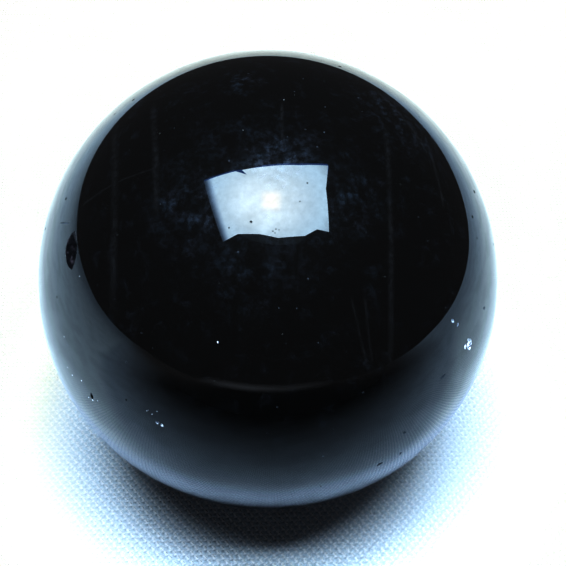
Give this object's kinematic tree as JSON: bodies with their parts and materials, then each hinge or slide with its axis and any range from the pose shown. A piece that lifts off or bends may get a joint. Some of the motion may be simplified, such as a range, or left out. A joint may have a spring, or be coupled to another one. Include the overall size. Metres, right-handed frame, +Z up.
{
  "type": "quartz sphere",
  "caption": "Solid polished ball of near-black smoky quartz with a leaf-shaped flake scar and small chips, for display on a ring stand or a cloth.",
  "frame": {"origin": "centre of the ball", "axes": "+Z up, -Y towards the front, +X to the right as seen from the front, with the large flake scar on the left shoulder"},
  "size_m": [0.05, 0.05, 0.05],
  "materials": {
    "smoky_quartz": "near-black smoky quartz, ground and polished to a mirror gloss, with faint pale veils inside and a few small chips"
  },
  "bodies": {
    "root": {"quartz_ball": "smoky_quartz"}
  },
  "joints": []
}
